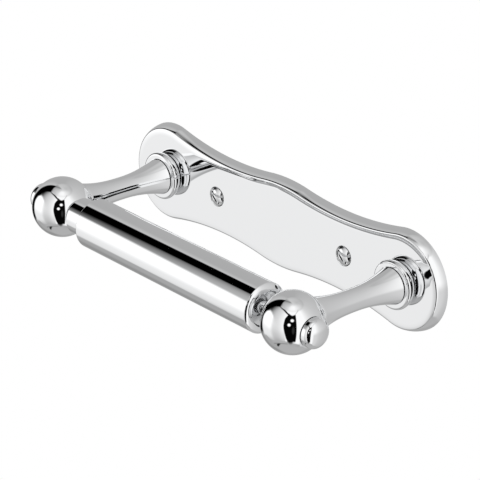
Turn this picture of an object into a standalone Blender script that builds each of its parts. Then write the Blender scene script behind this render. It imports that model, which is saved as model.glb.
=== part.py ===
"""A wall-mounted toilet roll holder in polished chrome.

A back plate with two round lobes and a waist carries a turned arm on each lobe, through a beaded
collar. Each arm ends in a ball with a finial. A sprung roller in two telescoping halves hangs
between the balls by its pins, and shortens against its spring so that it can be lifted out.

Metres. The origin is the middle of the plate's back face, which lies on the wall.
+X runs along the roller, +Y into the wall and +Z up.
"""
from math import acos, atan2, cos, hypot, pi, radians, sin, sqrt

import bmesh
import bpy

# Layout
ARM_SPACING = 0.150  # between the axes of the two arms
ROLLER_REACH = 0.0667  # from the wall to the roller's axis
SEAT_GAP = 0.0003  # between two pieces that bear on each other
OVERRUN = 0.002  # how far a cutting tool passes the face that it opens
WELD_DISTANCE = 0.00001

# Back plate, whose outline is made of arcs that touch
PLATE_THICKNESS = 0.0057
PLATE_LOBE_RADIUS = 0.02275
PLATE_WAIST_RADIUS = 0.150
PLATE_BULGE_RADIUS = 0.0765
PLATE_MIDDLE_HALF_HEIGHT = 0.02085
PLATE_WALL_BACK_LEAN = radians(4)  # of the side wall, inwards, at the back
PLATE_WALL_FRONT_LEAN = radians(29)
PLATE_CORNER_RADIUS = 0.0010
PLATE_CROWN_RADIUS = 0.0110  # of the slow curve from the corner to the flat face
PLATE_CROWN_SLOPE = radians(7)

# Wall screws: raised, slotted, countersunk wood screws
WALL_SCREW_SPACING = 0.082
WALL_SCREW_HEAD_RADIUS = 0.00425
WALL_SCREW_HEAD_DOME = 0.0018
WALL_SCREW_SHANK_RADIUS = 0.0020
WALL_SCREW_IN_WALL = 0.025
WALL_SCREW_POINT = 0.005
WALL_SCREW_SLOT_WIDTH = 0.0010
WALL_SCREW_SLOT_DEPTH = 0.0013
WALL_SCREW_SLOT_TURN = radians(-45)

# Base collar: a half-round bead on a short neck, clamped between the plate and the arm
COLLAR_RADIUS = 0.01093
COLLAR_BEAD_RADIUS = 0.00205
COLLAR_NECK_STEP = 0.0015  # from the bead's outermost ring in to the neck
COLLAR_HEIGHT = 0.0049
COLLAR_BORE_RADIUS = 0.0053

# Arm: waisted, with a foot on the collar, a tenon through it and a spigot in the ball
ARM_FOOT_RADIUS = 0.0083
ARM_WAIST_RADIUS = 0.0050
ARM_LIP_RADIUS = 0.0076
ARM_LIP_LENGTH = 0.0009
ARM_WAIST_SHARE = 0.5  # place of the waist between foot and lip
ARM_FOOT_FLARE_POWER = 2.15
ARM_LIP_FLARE_POWER = 2.5
ARM_SPIGOT_RADIUS = 0.0030
ARM_SPIGOT_LENGTH = 0.0080

# Arm screw, from behind through the plate and the collar, over a split lock washer
ARM_SCREW_RADIUS = 0.0025
ARM_SCREW_HEAD_RADIUS = 0.00425
ARM_SCREW_HEAD_HEIGHT = 0.0020
ARM_SCREW_IN_ARM = 0.0150
ARM_SCREW_SOCKET_RADIUS = 0.0023
ARM_SCREW_SOCKET_DEPTH = 0.0012
ARM_SCREW_POINT = 0.0006
LOCK_WASHER_RADIUS = 0.0046
LOCK_WASHER_THICKNESS = 0.0012
LOCK_WASHER_SPLIT = 0.0009
LOCK_WASHER_SPLIT_SLANT = radians(25)
COUNTERBORE_RADIUS = 0.0050

# Ball, with flats for the arm, the finial and the roller
BALL_RADIUS = 0.0135
BALL_ARM_FLAT_RADIUS = 0.0080
BALL_FINIAL_FLAT_RADIUS = 0.0069
BALL_ROLLER_FLAT_RADIUS = 0.00485
PIN_SOCKET_CLEARANCE = 0.0005  # past the tip of the roller's pin

# Finial: a short drum under a shallow dome
FINIAL_RADIUS = 0.0066
FINIAL_DRUM_LENGTH = 0.0024
FINIAL_DOME_HEIGHT = 0.0032
FINIAL_SPIGOT_RADIUS = 0.0027
FINIAL_SPIGOT_LENGTH = 0.0060

# Roller: the inner half bears on the left ball, the outer half slides over it
OUTER_TUBE_RADIUS = 0.0112
OUTER_TUBE_WALL = 0.0007
OUTER_TUBE_LIP = 0.0008  # thickness and corner radius of its rolled-in end
OUTER_TUBE_RIM_DROP = 0.0003  # of the rounded rim, from its inner to its outer edge
ROLLER_END_CLEARANCE = 0.0039  # from the right ball's flat to the outer tube
INNER_TUBE_RADIUS = 0.0082
INNER_TUBE_WALL = 0.0007
INNER_TUBE_SHOWING = 0.0100
INNER_TUBE_OVERLAP = 0.0620
INNER_TUBE_FLARE_LENGTH = 0.0020
INNER_TUBE_FLARE_LAND = 0.0008
PIN_RADIUS = 0.0030
PIN_LENGTH_IN_SOCKET = 0.0046
PIN_CHAMFER = 0.0005
OUTER_PLUG_DISH_RADIUS = 0.0070
OUTER_PLUG_DISH_DEPTH = 0.0017
OUTER_PLUG_LENGTH = 0.0065
INNER_PLUG_LENGTH = 0.0051

# Roller spring, one wire from plug to plug
SPRING_RADIUS = 0.0065  # over the wire
SPRING_WIRE_RADIUS = 0.0006
SPRING_TURNS = 24
SPRING_CLOSE_TURNS = 1  # at each end
SPRING_CLOSE_GAP = 0.0005
SPRING_POINTS_PER_TURN = 10

# How finely the curved faces are divided
LOBE_STEPS = 14
WAIST_STEPS = 6
BULGE_STEPS = 3
WALL_STEPS = 3
CORNER_STEPS = 4
CROWN_STEPS = 2
BALL_TURN_STEPS = 30
BALL_ARC_STEPS = 12
ARM_TURN_STEPS = 26
FLARE_STEPS = 6
COLLAR_TURN_STEPS = 32
BEAD_STEPS = 9
FINIAL_TURN_STEPS = 26
DOME_STEPS = 5
TUBE_TURN_STEPS = 36
LIP_STEPS = 3
PLUG_TURN_STEPS = 28
SCREW_TURN_STEPS = 22
HIDDEN_TURN_STEPS = 16
SMOOTH_ANGLE = radians(35)
MM_PER_METRE = 1000

# Places that follow from the sizes above, as distances out from the wall or the ball's centre
ARM_SIDES = {"left": -1, "right": 1}
COLLAR_BACK = PLATE_THICKNESS + SEAT_GAP
COLLAR_FRONT = COLLAR_BACK + COLLAR_HEIGHT
ARM_FOOT = COLLAR_FRONT + SEAT_GAP
BALL_ARM_FLAT = sqrt(BALL_RADIUS**2 - BALL_ARM_FLAT_RADIUS**2)
ARM_SEAT = ROLLER_REACH - BALL_ARM_FLAT - SEAT_GAP
BALL_FINIAL_FLAT = sqrt(BALL_RADIUS**2 - BALL_FINIAL_FLAT_RADIUS**2)
BALL_ROLLER_FLAT = sqrt(BALL_RADIUS**2 - BALL_ROLLER_FLAT_RADIUS**2)
COUNTERBORE_DEPTH = ARM_SCREW_HEAD_HEIGHT + LOCK_WASHER_THICKNESS + 3 * SEAT_GAP

# Places along the roller, from the middle between the arms
BALL_FACE = ARM_SPACING / 2 - BALL_ROLLER_FLAT
INNER_TUBE_END = BALL_FACE - SEAT_GAP
OUTER_TUBE_LEFT = INNER_TUBE_END - INNER_TUBE_SHOWING
OUTER_TUBE_RIGHT = BALL_FACE - ROLLER_END_CLEARANCE
INNER_TUBE_MOUTH = INNER_TUBE_OVERLAP - OUTER_TUBE_LEFT
PIN_TIP = BALL_FACE + PIN_LENGTH_IN_SOCKET
OUTER_TUBE_BORE = OUTER_TUBE_RADIUS - OUTER_TUBE_WALL
INNER_TUBE_BORE = INNER_TUBE_RADIUS - INNER_TUBE_WALL

# Turned pieces are drawn about local Z, which these turns lay out from the wall, right or left
OUT_FROM_WALL = (pi / 2, 0, 0)
TO_RIGHT = (0, pi / 2, 0)
TO_LEFT = (0, -pi / 2, 0)


def clear_scene():
    """Remove whatever the file holds, and make the collection for the holder."""
    for old in list(bpy.data.objects):
        bpy.data.objects.remove(old, do_unlink=True)
    collection = bpy.data.collections.new("toilet_roll_holder")
    bpy.context.scene.collection.children.link(collection)
    return collection


def finish(name, colour, roughness, metallic):
    """Make a Principled material."""
    material = bpy.data.materials.new(name)
    material.use_nodes = True
    shader = material.node_tree.nodes["Principled BSDF"]
    shader.inputs["Base Color"].default_value = (*colour, 1)
    shader.inputs["Roughness"].default_value = roughness
    shader.inputs["Metallic"].default_value = metallic
    return material


HOLDER = clear_scene()
CHROME = finish("polished_chrome", (0.86, 0.87, 0.88), 0.04, 1)
PLUG_CHROME = finish("plug_chrome", (0.80, 0.81, 0.82), 0.10, 1)
ZINC_STEEL = finish("zinc_steel", (0.62, 0.63, 0.64), 0.30, 1)
SPRING_STEEL = finish("spring_steel", (0.45, 0.45, 0.46), 0.25, 1)


def linked(name, data):
    """Put mesh or curve data into the scene as an object."""
    piece = bpy.data.objects.new(name, data)
    HOLDER.objects.link(piece)
    return piece


def evaluated_mesh(piece):
    """Give the object's mesh as its modifiers leave it, and remove the object."""
    graph = bpy.context.evaluated_depsgraph_get()
    mesh = bpy.data.meshes.new_from_object(piece.evaluated_get(graph))
    bpy.data.objects.remove(piece)
    return mesh


def turned(profile, steps):
    """Spin (radius, height) points about Z. They run down the outer side; off the axis they close."""
    points = [(radius, 0, height) for radius, height in profile]
    links = [(at, at + 1) for at in range(len(points) - 1)]
    if profile[0][0] > 0:
        links.append((len(points) - 1, 0))
    mesh = bpy.data.meshes.new("profile")
    mesh.from_pydata(points, links, [])
    piece = linked("profile", mesh)
    screw = piece.modifiers.new("Turning", "SCREW")
    screw.steps = steps
    screw.render_steps = steps
    screw.use_merge_vertices = True
    screw.merge_threshold = WELD_DISTANCE
    return evaluated_mesh(piece)


def box(width, depth, height):
    """Make a box about the origin."""
    shape = bmesh.new()
    bmesh.ops.create_cube(shape, size=1)
    bmesh.ops.scale(shape, vec=(width, depth, height), verts=shape.verts)
    mesh = bpy.data.meshes.new("box")
    shape.to_mesh(mesh)
    shape.free()
    return mesh


def cut(mesh, tool, location=(0, 0, 0), turn=(0, 0, 0)):
    """Take the tool's mesh away from a mesh, with the tool at a place and turn."""
    piece = linked("blank", mesh)
    cutter = linked("tool", tool)
    cutter.location = location
    cutter.rotation_euler = turn
    difference = piece.modifiers.new("Cut", "BOOLEAN")
    difference.operation = "DIFFERENCE"
    difference.solver = "EXACT"
    difference.object = cutter
    result = evaluated_mesh(piece)
    bpy.data.objects.remove(cutter)
    return result


def place(name, mesh, material, location, turn, parent=None):
    """Put a finished mesh in the scene under its own name, smooth but for its sharp edges."""
    mesh.materials.clear()
    mesh.materials.append(material)
    mesh.shade_smooth()
    mesh.set_sharp_from_angle(angle=SMOOTH_ANGLE)
    piece = linked(name, mesh)
    piece.location = location
    piece.rotation_euler = turn
    piece.parent = parent
    return piece


def arc(centre, radius, start, end, steps):
    """List points along an arc, both ends included."""
    angles = [start + (end - start) * at / steps for at in range(steps + 1)]
    return [(centre[0] + radius * cos(angle), centre[1] + radius * sin(angle)) for angle in angles]


def waist_centre():
    """Find the centre of the upper right waist arc, which touches the lobe and the bulge."""
    lobe_x = ARM_SPACING / 2
    bulge_y = PLATE_MIDDLE_HALF_HEIGHT - PLATE_BULGE_RADIUS
    to_lobe = PLATE_LOBE_RADIUS + PLATE_WAIST_RADIUS
    to_bulge = PLATE_BULGE_RADIUS + PLATE_WAIST_RADIUS
    span = hypot(lobe_x, bulge_y)
    along = (to_lobe**2 - to_bulge**2 + span**2) / (2 * span)
    aside = sqrt(to_lobe**2 - along**2)
    step_x = -lobe_x / span
    step_y = bulge_y / span
    return lobe_x + along * step_x + aside * step_y, along * step_y - aside * step_x


def plate_outline(inset):
    """List the outline from its right-hand tip, anticlockwise, moved inwards all round."""
    lobe = (ARM_SPACING / 2, 0)
    bulge = (0, PLATE_MIDDLE_HALF_HEIGHT - PLATE_BULGE_RADIUS)
    waist = waist_centre()
    lobe_end = atan2(waist[1] - lobe[1], waist[0] - lobe[0])
    bulge_start = atan2(waist[1] - bulge[1], waist[0] - bulge[0])
    quarter = arc(lobe, PLATE_LOBE_RADIUS - inset, 0, lobe_end, LOBE_STEPS)
    quarter += arc(waist, PLATE_WAIST_RADIUS + inset, lobe_end - pi, bulge_start - pi, WAIST_STEPS)[1:]
    quarter += arc(bulge, PLATE_BULGE_RADIUS - inset, bulge_start, pi / 2, BULGE_STEPS)[1:]
    upper = quarter + [(-x, y) for x, y in reversed(quarter[:-1])]
    return upper + [(x, -y) for x, y in reversed(upper[1:-1])]


def plate_section():
    """List the edge's section as (inset, height) from the back: a side wall that leans inwards more
    and more, a small corner, and a slow crown that runs out into the flat face."""
    crown_lean = pi / 2 - PLATE_CROWN_SLOPE
    corner_rise = PLATE_CORNER_RADIUS * (sin(crown_lean) - sin(PLATE_WALL_FRONT_LEAN))
    crown_rise = PLATE_CROWN_RADIUS * (1 - sin(crown_lean))
    wall_rise = PLATE_THICKNESS - corner_rise - crown_rise
    wall_radius = wall_rise / (sin(PLATE_WALL_FRONT_LEAN) - sin(PLATE_WALL_BACK_LEAN))
    arcs = [
        (wall_radius, PLATE_WALL_BACK_LEAN, PLATE_WALL_FRONT_LEAN, WALL_STEPS),
        (PLATE_CORNER_RADIUS, PLATE_WALL_FRONT_LEAN, crown_lean, CORNER_STEPS),
        (PLATE_CROWN_RADIUS, crown_lean, pi / 2, CROWN_STEPS),
    ]
    section = [(0, 0)]
    for radius, start, end, steps in arcs:
        inset, height = section[-1]
        centre = (inset + radius * cos(start), height - radius * sin(start))
        section += arc(centre, radius, pi - start, pi - end, steps)[1:]
    return section


def plate_blank():
    """Carry the edge's section along the outline, and close it with a flat back and front."""
    shape = bmesh.new()
    rings = []
    for inset, height in plate_section():
        rings.append([shape.verts.new((x, y, height)) for x, y in plate_outline(inset)])
    for lower, upper in zip(rings, rings[1:]):
        for at in range(len(lower)):
            shape.faces.new((lower[at - 1], lower[at], upper[at], upper[at - 1]))
    shape.faces.new(rings[0])
    shape.faces.new(rings[-1])
    bmesh.ops.recalc_face_normals(shape, faces=shape.faces)
    mesh = bpy.data.meshes.new("plate")
    shape.to_mesh(mesh)
    shape.free()
    return mesh


def arm_hole():
    """Tool for the arm's screw: a counterbore from behind, then the screw's own hole."""
    hole = ARM_SCREW_RADIUS + SEAT_GAP
    return turned(
        [
            (0, PLATE_THICKNESS + OVERRUN),
            (hole, PLATE_THICKNESS + OVERRUN),
            (hole, COUNTERBORE_DEPTH),
            (COUNTERBORE_RADIUS, COUNTERBORE_DEPTH),
            (COUNTERBORE_RADIUS, -OVERRUN),
            (0, -OVERRUN),
        ],
        HIDDEN_TURN_STEPS,
    )


def wall_screw_hole():
    """Tool for a wall screw: a countersink that follows the head at the seat's gap."""
    hole = WALL_SCREW_SHANK_RADIUS + SEAT_GAP
    mouth = WALL_SCREW_HEAD_RADIUS + SEAT_GAP * sqrt(2)
    return turned(
        [
            (0, PLATE_THICKNESS + OVERRUN),
            (mouth + OVERRUN, PLATE_THICKNESS + OVERRUN),
            (hole, PLATE_THICKNESS - (mouth - hole)),
            (hole, -OVERRUN),
            (0, -OVERRUN),
        ],
        SCREW_TURN_STEPS,
    )


def make_back_plate():
    """The plate, with a hole for each arm's screw and each wall screw."""
    mesh = plate_blank()
    for side in ARM_SIDES.values():
        mesh = cut(mesh, arm_hole(), (side * ARM_SPACING / 2, 0, 0))
        mesh = cut(mesh, wall_screw_hole(), (side * WALL_SCREW_SPACING / 2, 0, 0))
    place("back_plate", mesh, CHROME, (0, 0, 0), OUT_FROM_WALL)


def make_wall_screws():
    """Two wood screws: domed head with a slot, countersunk cone, plain shank and point."""
    dome_centre = WALL_SCREW_HEAD_DOME / 2 - WALL_SCREW_HEAD_RADIUS**2 / (2 * WALL_SCREW_HEAD_DOME)
    dome_radius = WALL_SCREW_HEAD_DOME - dome_centre
    rim = atan2(-dome_centre, WALL_SCREW_HEAD_RADIUS)
    tip = -PLATE_THICKNESS - WALL_SCREW_IN_WALL
    cone_depth = WALL_SCREW_HEAD_RADIUS - WALL_SCREW_SHANK_RADIUS
    profile = arc((0, dome_centre), dome_radius, pi / 2, rim, DOME_STEPS)
    profile[0] = (0, WALL_SCREW_HEAD_DOME)
    profile += [
        (WALL_SCREW_SHANK_RADIUS, -cone_depth),
        (WALL_SCREW_SHANK_RADIUS, tip + WALL_SCREW_POINT),
        (0, tip),
    ]
    slot = box(2 * (WALL_SCREW_HEAD_RADIUS + OVERRUN), WALL_SCREW_SLOT_WIDTH, 2 * WALL_SCREW_SLOT_DEPTH)
    mesh = cut(
        turned(profile, SCREW_TURN_STEPS),
        slot,
        (0, 0, WALL_SCREW_HEAD_DOME),
        (0, 0, WALL_SCREW_SLOT_TURN),
    )
    for name, side in ARM_SIDES.items():
        spot = (side * WALL_SCREW_SPACING / 2, -PLATE_THICKNESS, 0)
        place("wall_screw_" + name, mesh, CHROME, spot, OUT_FROM_WALL)


def make_base_collars():
    """Two collars: flat front, half-round bead, neck and bore."""
    bead_centre = (COLLAR_RADIUS - COLLAR_BEAD_RADIUS, COLLAR_FRONT - COLLAR_BEAD_RADIUS)
    neck_turn = acos(1 - COLLAR_NECK_STEP / COLLAR_BEAD_RADIUS)
    profile = arc(bead_centre, COLLAR_BEAD_RADIUS, pi / 2, -neck_turn, BEAD_STEPS)
    profile += [
        (COLLAR_RADIUS - COLLAR_NECK_STEP, COLLAR_BACK),
        (COLLAR_BORE_RADIUS, COLLAR_BACK),
        (COLLAR_BORE_RADIUS, COLLAR_FRONT),
    ]
    mesh = turned(profile, COLLAR_TURN_STEPS)
    for name, side in ARM_SIDES.items():
        place("base_collar_" + name, mesh, CHROME, (side * ARM_SPACING / 2, 0, 0), OUT_FROM_WALL)


def flare(start, end, start_radius, waist_radius, power):
    """List a flare's points: its radius falls to the waist's as a power of the way still to go."""
    shares = [at / FLARE_STEPS for at in range(FLARE_STEPS + 1)]
    rise = start_radius - waist_radius
    return [(waist_radius + rise * (1 - s) ** power, start + (end - start) * s) for s in shares]


def make_arms():
    """Two arms: spigot, lip, waisted stem, foot and tenon, with a blind bore for the screw."""
    lip_back = ARM_SEAT - ARM_LIP_LENGTH
    waist = ARM_FOOT + (lip_back - ARM_FOOT) * ARM_WAIST_SHARE
    tenon = COLLAR_BORE_RADIUS - SEAT_GAP
    bore = ARM_SCREW_RADIUS + SEAT_GAP
    bore_end = COLLAR_BACK + ARM_SCREW_IN_ARM + SEAT_GAP
    to_waist = flare(lip_back, waist, ARM_LIP_RADIUS, ARM_WAIST_RADIUS, ARM_LIP_FLARE_POWER)
    from_foot = flare(ARM_FOOT, waist, ARM_FOOT_RADIUS, ARM_WAIST_RADIUS, ARM_FOOT_FLARE_POWER)
    profile = [
        (0, ARM_SEAT + ARM_SPIGOT_LENGTH),
        (ARM_SPIGOT_RADIUS, ARM_SEAT + ARM_SPIGOT_LENGTH),
        (ARM_SPIGOT_RADIUS, ARM_SEAT),
        (ARM_LIP_RADIUS, ARM_SEAT),
    ]
    profile += to_waist + from_foot[-2::-1]
    profile += [(tenon, ARM_FOOT), (tenon, COLLAR_BACK), (bore, COLLAR_BACK), (bore, bore_end)]
    profile += [(0, bore_end)]
    mesh = turned(profile, ARM_TURN_STEPS)
    for name, side in ARM_SIDES.items():
        place("arm_" + name, mesh, CHROME, (side * ARM_SPACING / 2, 0, 0), OUT_FROM_WALL)


def make_arm_screws():
    """Two screws from behind the plate into the arms, with a hexagon socket in the head."""
    head_back = SEAT_GAP
    head_front = head_back + ARM_SCREW_HEAD_HEIGHT
    tip = COLLAR_BACK + ARM_SCREW_IN_ARM
    profile = [
        (0, tip),
        (ARM_SCREW_RADIUS - ARM_SCREW_POINT, tip),
        (ARM_SCREW_RADIUS, tip - ARM_SCREW_POINT),
        (ARM_SCREW_RADIUS, head_front),
        (ARM_SCREW_HEAD_RADIUS, head_front),
        (ARM_SCREW_HEAD_RADIUS, head_back),
        (0, head_back),
    ]
    shape = bmesh.new()
    bmesh.ops.create_cone(
        shape,
        cap_ends=True,
        segments=6,
        radius1=ARM_SCREW_SOCKET_RADIUS,
        radius2=ARM_SCREW_SOCKET_RADIUS,
        depth=2 * ARM_SCREW_SOCKET_DEPTH,
    )
    socket = bpy.data.meshes.new("socket")
    shape.to_mesh(socket)
    shape.free()
    mesh = cut(turned(profile, HIDDEN_TURN_STEPS), socket, (0, 0, head_back))
    for name, side in ARM_SIDES.items():
        place("arm_screw_" + name, mesh, ZINC_STEEL, (side * ARM_SPACING / 2, 0, 0), OUT_FROM_WALL)


def make_lock_washers():
    """Two spring washers between the screws' heads and the plate, each split on a slant."""
    back = ARM_SCREW_HEAD_HEIGHT + 2 * SEAT_GAP
    front = back + LOCK_WASHER_THICKNESS
    bore = ARM_SCREW_RADIUS + SEAT_GAP
    profile = [
        (LOCK_WASHER_RADIUS, front),
        (LOCK_WASHER_RADIUS, back),
        (bore, back),
        (bore, front),
    ]
    split = box(LOCK_WASHER_RADIUS, LOCK_WASHER_SPLIT, LOCK_WASHER_THICKNESS + OVERRUN)
    mesh = cut(
        turned(profile, HIDDEN_TURN_STEPS),
        split,
        ((bore + LOCK_WASHER_RADIUS) / 2, 0, (back + front) / 2),
        (LOCK_WASHER_SPLIT_SLANT, 0, 0),
    )
    for name, side in ARM_SIDES.items():
        spot = (side * ARM_SPACING / 2, 0, 0)
        place("arm_lock_washer_" + name, mesh, ZINC_STEEL, spot, OUT_FROM_WALL)


def make_balls():
    """Two balls, local Z outwards: finial bore and flat, sphere, roller flat and pin socket."""
    finial_bore = FINIAL_SPIGOT_RADIUS + SEAT_GAP
    finial_bore_end = BALL_FINIAL_FLAT + SEAT_GAP - FINIAL_SPIGOT_LENGTH - SEAT_GAP
    socket = PIN_RADIUS + SEAT_GAP
    socket_end = ARM_SPACING / 2 - PIN_TIP - PIN_SOCKET_CLEARANCE
    start = atan2(BALL_FINIAL_FLAT, BALL_FINIAL_FLAT_RADIUS)
    end = -atan2(BALL_ROLLER_FLAT, BALL_ROLLER_FLAT_RADIUS)
    profile = [(0, finial_bore_end), (finial_bore, finial_bore_end), (finial_bore, BALL_FINIAL_FLAT)]
    profile += arc((0, 0), BALL_RADIUS, start, end, BALL_ARC_STEPS)
    profile += [(socket, -BALL_ROLLER_FLAT), (socket, -socket_end), (0, -socket_end)]
    spigot_bore = ARM_SPIGOT_RADIUS + SEAT_GAP
    spigot_bore_end = BALL_ARM_FLAT - ARM_SPIGOT_LENGTH
    seat = turned(
        [
            (0, BALL_RADIUS + OVERRUN),
            (BALL_ARM_FLAT_RADIUS + OVERRUN, BALL_RADIUS + OVERRUN),
            (BALL_ARM_FLAT_RADIUS + OVERRUN, BALL_ARM_FLAT),
            (spigot_bore, BALL_ARM_FLAT),
            (spigot_bore, spigot_bore_end),
            (0, spigot_bore_end),
        ],
        ARM_TURN_STEPS,
    )
    mesh = cut(turned(profile, BALL_TURN_STEPS), seat, turn=(-pi / 2, 0, 0))
    place("ball_right", mesh, CHROME, (ARM_SPACING / 2, -ROLLER_REACH, 0), TO_RIGHT)
    place("ball_left", mesh, CHROME, (-ARM_SPACING / 2, -ROLLER_REACH, 0), TO_LEFT)


def make_finials():
    """Two finials, local Z outwards: an elliptical dome on a drum, with a spigot in the ball."""
    base = BALL_FINIAL_FLAT + SEAT_GAP
    shoulder = base + FINIAL_DRUM_LENGTH
    angles = [pi / 2 * (1 - at / DOME_STEPS) for at in range(1, DOME_STEPS + 1)]
    profile = [(0, shoulder + FINIAL_DOME_HEIGHT)]
    profile += [(FINIAL_RADIUS * cos(a), shoulder + FINIAL_DOME_HEIGHT * sin(a)) for a in angles]
    profile += [
        (FINIAL_RADIUS, base),
        (FINIAL_SPIGOT_RADIUS, base),
        (FINIAL_SPIGOT_RADIUS, base - FINIAL_SPIGOT_LENGTH),
        (0, base - FINIAL_SPIGOT_LENGTH),
    ]
    mesh = turned(profile, FINIAL_TURN_STEPS)
    place("finial_right", mesh, CHROME, (ARM_SPACING / 2, -ROLLER_REACH, 0), TO_RIGHT)
    place("finial_left", mesh, CHROME, (-ARM_SPACING / 2, -ROLLER_REACH, 0), TO_LEFT)


def axis_empty(name, location, turn, parent=None):
    """Make an empty that carries a moving half, with its local Z along the roller's axis."""
    empty = linked(name, None)
    empty.location = location
    empty.rotation_euler = turn
    empty.parent = parent
    return empty


def make_inner_half(carrier):
    """The inner tube, flared at its buried mouth, and the plug with the left-hand pin."""
    land = INNER_TUBE_MOUTH - INNER_TUBE_FLARE_LAND
    root = land - INNER_TUBE_FLARE_LENGTH
    flared = OUTER_TUBE_BORE - SEAT_GAP
    tube = turned(
        [
            (flared, INNER_TUBE_MOUTH),
            (flared, land),
            (INNER_TUBE_RADIUS, root),
            (INNER_TUBE_RADIUS, -INNER_TUBE_END),
            (INNER_TUBE_BORE, -INNER_TUBE_END),
            (INNER_TUBE_BORE, root),
            (flared - INNER_TUBE_WALL, land),
            (flared - INNER_TUBE_WALL, INNER_TUBE_MOUTH),
        ],
        TUBE_TURN_STEPS,
    )
    place("roller_inner_tube", tube, CHROME, (0, 0, 0), (0, 0, 0), carrier)
    body = INNER_TUBE_BORE - SEAT_GAP
    plug = turned(
        [
            (0, INNER_PLUG_LENGTH - INNER_TUBE_END),
            (body, INNER_PLUG_LENGTH - INNER_TUBE_END),
            (body, -INNER_TUBE_END),
            (PIN_RADIUS, -INNER_TUBE_END),
            (PIN_RADIUS, PIN_CHAMFER - PIN_TIP),
            (PIN_RADIUS - PIN_CHAMFER, -PIN_TIP),
            (0, -PIN_TIP),
        ],
        PLUG_TURN_STEPS,
    )
    place("roller_inner_plug", plug, PLUG_CHROME, (0, 0, 0), (0, 0, 0), carrier)


def make_outer_half(carrier):
    """The outer tube, rolled in round the inner one, and the dished plug with the right-hand pin."""
    lip_hole = INNER_TUBE_RADIUS + SEAT_GAP
    lip_back = OUTER_TUBE_LIP - OUTER_TUBE_LEFT
    corner = (OUTER_TUBE_RADIUS - OUTER_TUBE_LIP, lip_back)
    profile = [
        (OUTER_TUBE_BORE, OUTER_TUBE_RIGHT),
        (OUTER_TUBE_RADIUS, OUTER_TUBE_RIGHT - OUTER_TUBE_RIM_DROP),
    ]
    profile += arc(corner, OUTER_TUBE_LIP, 0, -pi / 2, LIP_STEPS)
    profile += [(lip_hole, -OUTER_TUBE_LEFT), (lip_hole, lip_back), (OUTER_TUBE_BORE, lip_back)]
    tube = turned(profile, TUBE_TURN_STEPS)
    place("roller_outer_tube", tube, CHROME, (0, 0, 0), (0, 0, 0), carrier)
    body = OUTER_TUBE_BORE - SEAT_GAP
    floor = OUTER_TUBE_RIGHT - OUTER_PLUG_DISH_DEPTH
    plug = turned(
        [
            (0, PIN_TIP),
            (PIN_RADIUS - PIN_CHAMFER, PIN_TIP),
            (PIN_RADIUS, PIN_TIP - PIN_CHAMFER),
            (PIN_RADIUS, floor),
            (OUTER_PLUG_DISH_RADIUS, floor),
            (body, OUTER_TUBE_RIGHT),
            (body, OUTER_TUBE_RIGHT - OUTER_PLUG_LENGTH),
            (0, OUTER_TUBE_RIGHT - OUTER_PLUG_LENGTH),
        ],
        PLUG_TURN_STEPS,
    )
    place("roller_outer_plug", plug, PLUG_CHROME, (0, 0, 0), (0, 0, 0), carrier)


def spring_points():
    """List points along the coil: close turns at both ends, even pitch between them."""
    start = INNER_PLUG_LENGTH - INNER_TUBE_END + SEAT_GAP + SPRING_WIRE_RADIUS
    end = OUTER_TUBE_RIGHT - OUTER_PLUG_LENGTH - SEAT_GAP - SPRING_WIRE_RADIUS
    close_pitch = 2 * SPRING_WIRE_RADIUS + SPRING_CLOSE_GAP
    open_turns = SPRING_TURNS - 2 * SPRING_CLOSE_TURNS
    open_pitch = (end - start - 2 * SPRING_CLOSE_TURNS * close_pitch) / open_turns
    coil_radius = SPRING_RADIUS - SPRING_WIRE_RADIUS
    points = []
    for at in range(SPRING_TURNS * SPRING_POINTS_PER_TURN + 1):
        turns = at / SPRING_POINTS_PER_TURN
        opened = min(max(turns - SPRING_CLOSE_TURNS, 0), open_turns)
        height = start + opened * open_pitch + (turns - opened) * close_pitch
        angle = 2 * pi * turns
        points.append((coil_radius * cos(angle), coil_radius * sin(angle), height))
    return points


def least_gap(points):
    """Least space between stretches of the wire that are half a turn or more apart."""
    apart = SPRING_POINTS_PER_TURN // 2
    nearest = min(
        sum((a - b) ** 2 for a, b in zip(points[first], points[second]))
        for first in range(len(points))
        for second in range(first + apart, len(points))
    )
    return sqrt(nearest) - 2 * SPRING_WIRE_RADIUS


def make_spring(carrier):
    """The compression spring that holds the halves apart, one wire from plug to plug."""
    points = spring_points()
    print(f"Roller spring: least gap to itself {least_gap(points) * MM_PER_METRE:.2f} mm")
    wire = bpy.data.curves.new("roller_spring", "CURVE")
    wire.dimensions = "3D"
    wire.bevel_depth = SPRING_WIRE_RADIUS
    wire.bevel_resolution = 1
    wire.use_fill_caps = True
    wire.materials.append(SPRING_STEEL)
    spline = wire.splines.new("POLY")
    spline.points.add(len(points) - 1)
    for point, spot in zip(spline.points, points):
        point.co = (*spot, 1)
    linked("roller_spring", wire).parent = carrier


def make_roller():
    """Both halves of the roller and the spring, each half under an empty on the roller's axis."""
    spin = axis_empty("roller_spin_axis", (0, -ROLLER_REACH, 0), TO_RIGHT)
    slide = axis_empty("roller_compress_axis", (0, 0, 0), (0, 0, 0), spin)
    make_inner_half(spin)
    make_spring(spin)
    make_outer_half(slide)


make_back_plate()
make_wall_screws()
make_base_collars()
make_arms()
make_arm_screws()
make_lock_washers()
make_balls()
make_finials()
make_roller()
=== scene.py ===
"""The finished surfaces of a wall-mounted toilet roll holder in polished chrome, and its studio.

Every piece is a surface worked out with numpy: a profile turned about an axis, a section carried
along an outline, or a tube along a coil. Metres, +Z up; the wall is y = 0 and the arms reach along -Y.
"""
from math import asin, atan2, cos, hypot, pi, radians, sin, sqrt

import bmesh
import bpy
import numpy as np
from mathutils import Matrix, Vector


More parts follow.
